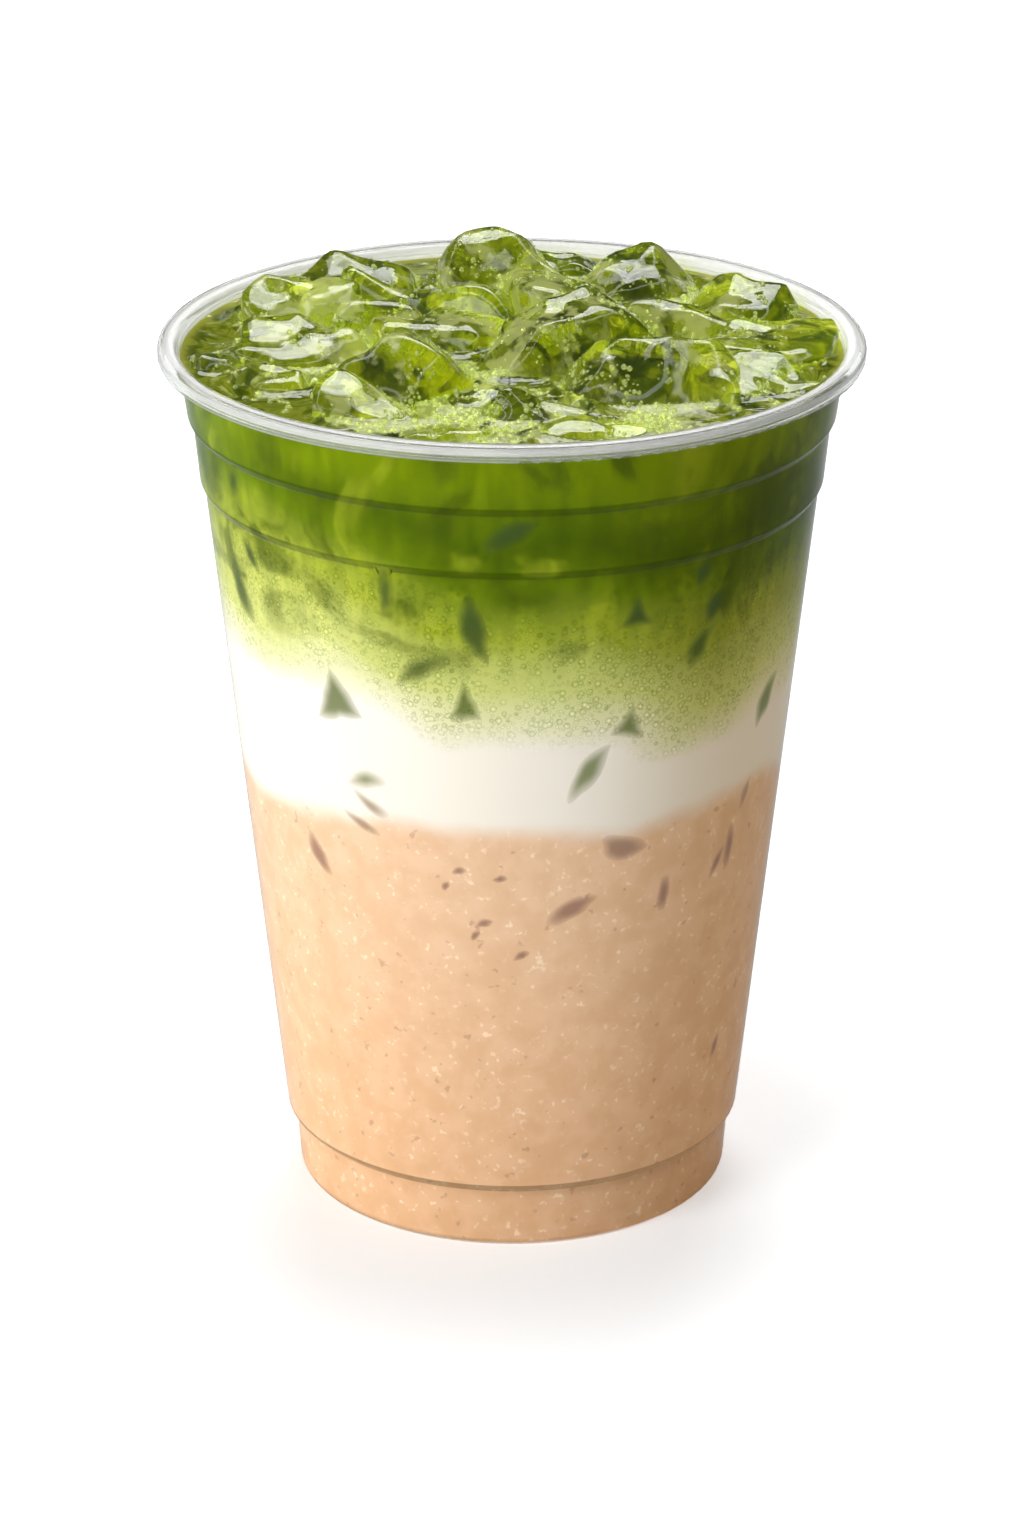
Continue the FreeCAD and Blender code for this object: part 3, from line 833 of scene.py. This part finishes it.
# the drink's own colour at a place on its side, and the height there
def layerColour(tree):
    s = layerSettings
    place = addPlace(tree)
    axes = addNode(tree, "ShaderNodeSeparateXYZ", {0: place}).outputs
    across, height = axes["X"], axes["Z"]
    colour, greenAt, isMilk = addLayers(tree, place, across, height)
    colour = addDrifts(tree, place, height, colour)
    colour = addSideFroth(tree, place, height, greenAt, colour)
    colour = addCoffeeGrain(tree, place, isMilk, colour)
    # painted shade: the right side of the drink is painted darker, where less light falls on it
    colour = addMix(tree, addRange(tree, across, *s["rightShadeSide"]), colour, s["rightShadeTint"], "MULTIPLY")
    return colour, height


def sideMaterial():
    material, tree = newMaterial("layered drink")
    colour = layerColour(tree)[0]
    # painted shade along the ledges of the cup's wall, standing in for their refraction
    colour = addMix(tree, addPainted(tree, "ledge"), colour, layerSettings["ledgeShadeTint"], "MULTIPLY")
    values = {"Base Color": colour, "Roughness": layerSettings["rough"], "Specular IOR Level": 0.0}
    finishMaterial(tree, addSurface(tree, values))
    return material


# the surface of the drink: swirled greens, froth with painted glints, painted shade in the bowls under the
# ice, and a pale brim
surfaceSettings = dict(
    greens=[(0.34, (0.045, 0.075, 0.002)), (0.47, (0.13, 0.18, 0.005)), (0.54, (0.34, 0.39, 0.03)),
            (0.60, (0.20, 0.26, 0.008)), (0.68, (0.58, 0.62, 0.14))],
    swirlScale=110.0, bubbleMiddle=(0.74, 0.79, 0.30), bubbleEdge=(0.52, 0.60, 0.14), bubbleScale=1100.0,
    bubbleFade=(0.2, 0.6), glint=(0.86, 0.89, 0.46), glintScale=2600.0, glintFade=(0.5, 0.15, 0.0, 0.35),
    raggedScale=420.0, ragged=0.7, frothFade=(0.36, 0.58),
    bowlShade=(0.060, 0.090, 0.003), bowlFade=(0.05, 0.9, 0.0, 0.5),
    brim=(0.52, 0.54, 0.07), brimFade=(0.1, 0.75, 0.0, 0.8), roughFade=(0.3, 0.6, 0.06, 0.30),
    bumpStrength=0.4, bumpHeight=0.6 * mm, rippleScale=230.0, bubbleBump=(0.3, 0.6, 0.0, 0.25), ior=1.33,
)


def topMaterial():
    s = surfaceSettings
    material, tree = newMaterial("matcha surface")
    place = addPlace(tree)
    green = addRamp(tree, addNoise(tree, place, s["swirlScale"], detail=5.0, distortion=2.2), s["greens"])
    cells = addCells(tree, place, s["bubbleScale"])
    small = addCells(tree, place, s["glintScale"])
    froth = addMix(tree, addRange(tree, cells, *s["bubbleFade"]), s["bubbleMiddle"], s["bubbleEdge"])
    # painted highlight: a pale glint in the middle of each small froth bubble
    froth = addMix(tree, addRange(tree, small, *s["glintFade"]), froth, s["glint"])
    ragged = addWobble(tree, addNoise(tree, place, s["raggedScale"], detail=4.0), s["ragged"])
    paleAmount = addMath(tree, "ADD", addPainted(tree, "foam"), ragged)
    colour = addMix(tree, addRange(tree, paleAmount, *s["frothFade"]), green, froth)
    # painted shade: the surface is painted darker in the bowls under the ice
    colour = addMix(tree, addRange(tree, addPainted(tree, "depth"), *s["bowlFade"]), colour, s["bowlShade"])
    colour = addMix(tree, addRange(tree, addPainted(tree, "brim"), *s["brimFade"]), colour, s["brim"])
    bump = addNode(tree, "ShaderNodeBump", {"Strength": s["bumpStrength"], "Distance": s["bumpHeight"]})
    ripple = addNoise(tree, place, s["rippleScale"], detail=2.0, distortion=1.0)
    height = addMath(tree, "ADD", addTimes(tree, cells, addRange(tree, paleAmount, *s["bubbleBump"])), ripple)
    tree.links.new(height, bump.inputs["Height"])
    values = {"Base Color": colour, "Roughness": addRange(tree, paleAmount, *s["roughFade"])}
    values.update({"Normal": bump.outputs[0], "IOR": s["ior"]})
    finishMaterial(tree, addSurface(tree, values))
    return material


bowls = makeDrink()
print("drink poured")

# slivers of ice sunk in the drink, seen through its side: (bearing, height in mm, length, width, lean in
# degrees to the right, shape, softness)
leaf, triangle, bar = "leaf", "triangle", "bar"
sunkSlivers = [
    (-149, 112, 4, 3, 20, leaf, 0.1), (-153, 95, 8, 3.4, -28, leaf, 0.45),
    (-147, 101.5, 5, 1.8, -40, leaf, 0.3), (-113.5, 101.5, 6.8, 1.9, 2, bar, 0.05),
    (-90, 112, 7.5, 2.6, 62, leaf, 0.4), (-97, 97.5, 8.5, 3.0, -14, leaf, 0.5),
    (-108, 91, 7, 2.8, 58, leaf, 0.25), (-126, 84, 7.2, 6.6, -10, triangle, 0.5),
    (-99, 86, 5.6, 4.2, 0, triangle, 0.4), (-66.5, 98.5, 4.6, 4.4, 0, triangle, 0.35),
    (-53, 103, 4, 3, 30, leaf, 0.1), (-49.5, 97.5, 5, 2.6, 24, leaf, 0.4),
    (-52.5, 92, 5.2, 3, 30, leaf, 0.3), (-29, 79, 6.5, 3.2, 30, leaf, 0.45),
    (-67, 82, 4.8, 4.8, 10, triangle, 0.3), (-75, 76, 7.6, 2.8, 35, leaf, 0.35),
    (-120.5, 73, 5, 2.4, 75, leaf, 0.1), (-119.5, 69, 5, 1.6, -60, leaf, 0.25),
    (-122, 66, 5.2, 1.4, -66, leaf, 0.3), (-135, 59, 6, 2.4, -30, leaf, 0.45),
    (-67, 63.5, 5.6, 3.0, -72, leaf, 0.45), (-77.5, 55, 6, 2.6, 62, leaf, 0.4),
    (-56, 55, 3.9, 1.5, 4, bar, 0.3), (-37, 58.5, 5.6, 1.4, 5, bar, 0.3), (-41, 57, 4, 1.4, 25, leaf, 0.3),
    (-33, 66, 3.6, 1.4, 25, leaf, 0.3), (-96, 53, 2, 1.2, 70, leaf, 0.3), (-88, 48, 2, 1.1, 60, leaf, 0.3),
    (-92.5, 60, 1.6, 0.9, 80, leaf, 0.3), (-101, 61, 1.7, 1.0, 80, leaf, 0.3),
    (-104, 58.5, 1.4, 0.9, 30, leaf, 0.3), (-33, 26, 3, 1.2, 20, leaf, 0.3),
    (-98, 51, 1.6, 1.0, 40, leaf, 0.3),
]
sunkSettings = dict(
    halo=1.7, rings=8, sides=30, proud=0.24 * mm, rimDepth=0.02 * mm, back=-0.25 * mm,
    leafPower=1.6, leafBow=0.18, barPower=4.0, triangleInner=0.56, triangleReach=1.04,
    ragged=0.28, raggedSize=0.9, coreShare=0.8, coreInset=0.12, coreEnd=0.96,
    # the ones behind are spread at random
    behind=34, bearings=(-15, 195), heights=(26, 114), lengths=(2, 8), widths=(0.3, 0.8), leans=(-70, 70),
    shapes=(leaf, leaf, triangle), softness=(0.1, 0.5),
    tones=[(0.50, (0.30, 0.165, 0.115)), (0.56, (0.36, 0.26, 0.17)), (0.60, (0.17, 0.20, 0.055)),
           (0.70, (0.085, 0.115, 0.014)), (0.78, (0.045, 0.075, 0.018))],
    strength=0.88, rough=0.4,
)


def outlineOf(shape, angle):  # how far the sliver's outline is from its middle, at an angle from its tip
    s = sunkSettings
    if shape == triangle:
        third = 2 * math.pi / 3
        toSide = math.cos((angle + third / 2) % third - third / 2)
        return min(1 / max(toSide, 0.5) * s["triangleInner"], s["triangleReach"])
    power = s["leafPower"] if shape == leaf else s["barPower"]
    return (abs(math.sin(angle)) ** power + abs(math.cos(angle)) ** power) ** (-1 / power)


# a closed lens on the cup's wall, and how near each point is to its dark core
def sliverPoints(sliver):
    bearing, height, length, width, lean, shape, soft = sliver
    s = sunkSettings
    length, width = length * s["halo"], width * s["halo"]
    lean = math.radians(lean + (180 if shape == triangle else 0))
    points, core = [], []

    def place(u, v, out):
        across = (u * math.cos(lean) + v * math.sin(lean)) * mm
        up = (-u * math.sin(lean) + v * math.cos(lean)) * mm
        z = height * mm + up
        return onWall(bearing + math.degrees(across / wallRadius(z)), z, out)

    points.append(place(0, 0, s["proud"]))
    core.append(1.0)
    for ring in range(1, s["rings"] + 1):
        t = ring / s["rings"]
        out = s["proud"] + (s["rimDepth"] - s["proud"]) * t ** 3
        for k in range(s["sides"]):
            angle = 2 * math.pi * k / s["sides"]
            x, y = math.sin(angle), math.cos(angle)
            ragged = 1 + s["ragged"] * grain((x + bearing, y, height), s["raggedSize"], 2.0)
            reach = outlineOf(shape, angle) * ragged
            bow = s["leafBow"] * width * (y * reach * t) ** 2 if shape == leaf else 0.0
            points.append(place(x * reach * t * width / 2 + bow, y * reach * t * length / 2, out))
            core.append(1 - float(easeBetween(soft * s["coreShare"] - s["coreInset"], s["coreEnd"], t)))
    points.append(place(0, 0, s["back"]))
    core.append(0.0)
    return points, core


def makeSunkIce():
    s = sunkSettings
    chance = random.Random(8)
    slivers = list(sunkSlivers)
    for _ in range(s["behind"]):
        length = chance.uniform(*s["lengths"])
        bearing, height = chance.uniform(*s["bearings"]), chance.uniform(*s["heights"])
        width, lean = length * chance.uniform(*s["widths"]), chance.uniform(*s["leans"])
        shape, soft = chance.choice(s["shapes"]), chance.uniform(*s["softness"])
        slivers.append((bearing, height, length, width, lean, shape, soft))
    points, core, faces = [], [], []
    for sliver in slivers:
        start, n = len(points), s["sides"]
        some, near = sliverPoints(sliver)
        points += some
        core += near
        for k in range(n):
            m = (k + 1) % n
            faces.append((start, start + 1 + m, start + 1 + k))
            for ring in range(s["rings"] - 1):
                a, b = start + 1 + ring * n, start + 1 + (ring + 1) * n
                faces.append((a + k, a + m, b + m, b + k))
            outer = start + 1 + (s["rings"] - 1) * n
            faces.append((outer + k, outer + m, start + len(some) - 1))
    piece = makePiece("sunk-ice", points, faces)
    paint(piece, "core", core)
    settle(piece, "ice", [sunkMaterial()])


def sunkMaterial():
    s = sunkSettings
    material, tree = newMaterial("sunk ice")
    colour, height = layerColour(tree)
    core = addTimes(tree, addPainted(tree, "core"), s["strength"])
    tone = addRamp(tree, addMath(tree, "DIVIDE", height, drinkLevel), s["tones"])
    colour = addMix(tree, core, colour, tone)
    values = {"Base Color": colour, "Roughness": s["rough"], "Specular IOR Level": 0.0}
    finishMaterial(tree, addSurface(tree, values))
    return material


makeSunkIce()
print("sunk ice made")


# bubbles: small balls half sunk in the froth, round the ice and on it
bubbleSettings = dict(
    onFroth=2000, onIce=2200, smallest=0.20 * mm, largest=0.58 * mm, mostlySmall=3.0, roundness=2, sunk=0.35,
    toWall=0.985, deepest=0.8 * mm, foamFade=(0.25, 0.75),
    iceShare=0.8, leastHeight=0.2 * mm, lowest=-0.02, fewerUp=1.15,
    clusterSize=3.5 * mm, clusterFade=(-0.05, 0.35),
    # middle and edge: painted shade, from the pale middle of each bubble to its darker rim
    middle=(0.92, 0.96, 0.60), edge=(0.62, 0.70, 0.20), edgeBlend=0.45, letsThrough=(0.85, 0.9, 0.7),
    rough=0.06, ior=1.33, clearness=0.7,
)


def bubbleRadius(chance):
    s = bubbleSettings
    return s["smallest"] + (s["largest"] - s["smallest"]) * chance.random() ** s["mostlySmall"]


def joinBalls(name, places, slotName, material):
    ball, ballFaces = ballOf(bubbleSettings["roundness"])
    points, faces = [], []
    for centre, radius in places:
        start = len(points) * len(ball)
        faces += [[start + i for i in face] for face in ballFaces]
        points.append(ball * radius + np.array(centre))
    piece = makePiece(name, np.concatenate(points), faces)
    settle(piece, slotName, [material])


def frothBubbles(chance):
    s = bubbleSettings
    edge = wallRadius(drinkLevel)
    places = []
    while len(places) < s["onFroth"]:
        r, angle = edge * math.sqrt(chance.random()) * s["toWall"], chance.uniform(0, 2 * math.pi)
        x, y = np.array([r * math.cos(angle)]), np.array([r * math.sin(angle)])
        foam = foamAt(x, y, edge)[0]
        z, sunk = surfaceHeight(x, y, edge, bowls)
        if sunk[0] > s["deepest"] or chance.random() > easeBetween(*s["foamFade"], foam):
            continue
        radius = bubbleRadius(chance)
        places.append(((x[0], y[0], z[0] - s["sunk"] * radius), radius))
    return places


def iceBubbles(chance):
    s = bubbleSettings
    places = []
    names = sorted(ice)
    heights = {name: ice[name][:, 2].max() - drinkLevel for name in names}
    weights = [max(s["leastHeight"], heights[name]) for name in names]
    while len(places) < s["onIce"]:
        name = chance.choices(names, weights)[0]
        points = ice[name]
        p = points[chance.randrange(len(points))]
        above = (p[2] - drinkLevel) / heights[name]
        cluster = easeBetween(*s["clusterFade"], grain(p, s["clusterSize"], 12.0))
        if above < s["lowest"] or chance.random() > cluster * (s["fewerUp"] - above):
            continue
        places.append((tuple(p), bubbleRadius(chance) * s["iceShare"]))
    return places


def bubbleMaterial():
    s = bubbleSettings
    material, tree = newMaterial("bubbles")
    # painted shade: each bubble is painted darker towards its rim, where it turns away from the camera
    edge = addNode(tree, "ShaderNodeLayerWeight", {"Blend": s["edgeBlend"]}).outputs["Facing"]
    colour = addMix(tree, edge, s["middle"], s["edge"])
    values = {"Base Color": colour, "Roughness": s["rough"], "IOR": s["ior"]}
    values["Transmission Weight"] = s["clearness"]
    finishMaterial(tree, addSurface(tree, values), s["letsThrough"])
    return material


def makeBubbles():
    chance = random.Random(5)
    material = bubbleMaterial()
    joinBalls("froth-bubbles", frothBubbles(chance), "matcha", material)
    joinBalls("ice-bubbles", iceBubbles(chance), "ice", material)


makeBubbles()
print("bubbles made")
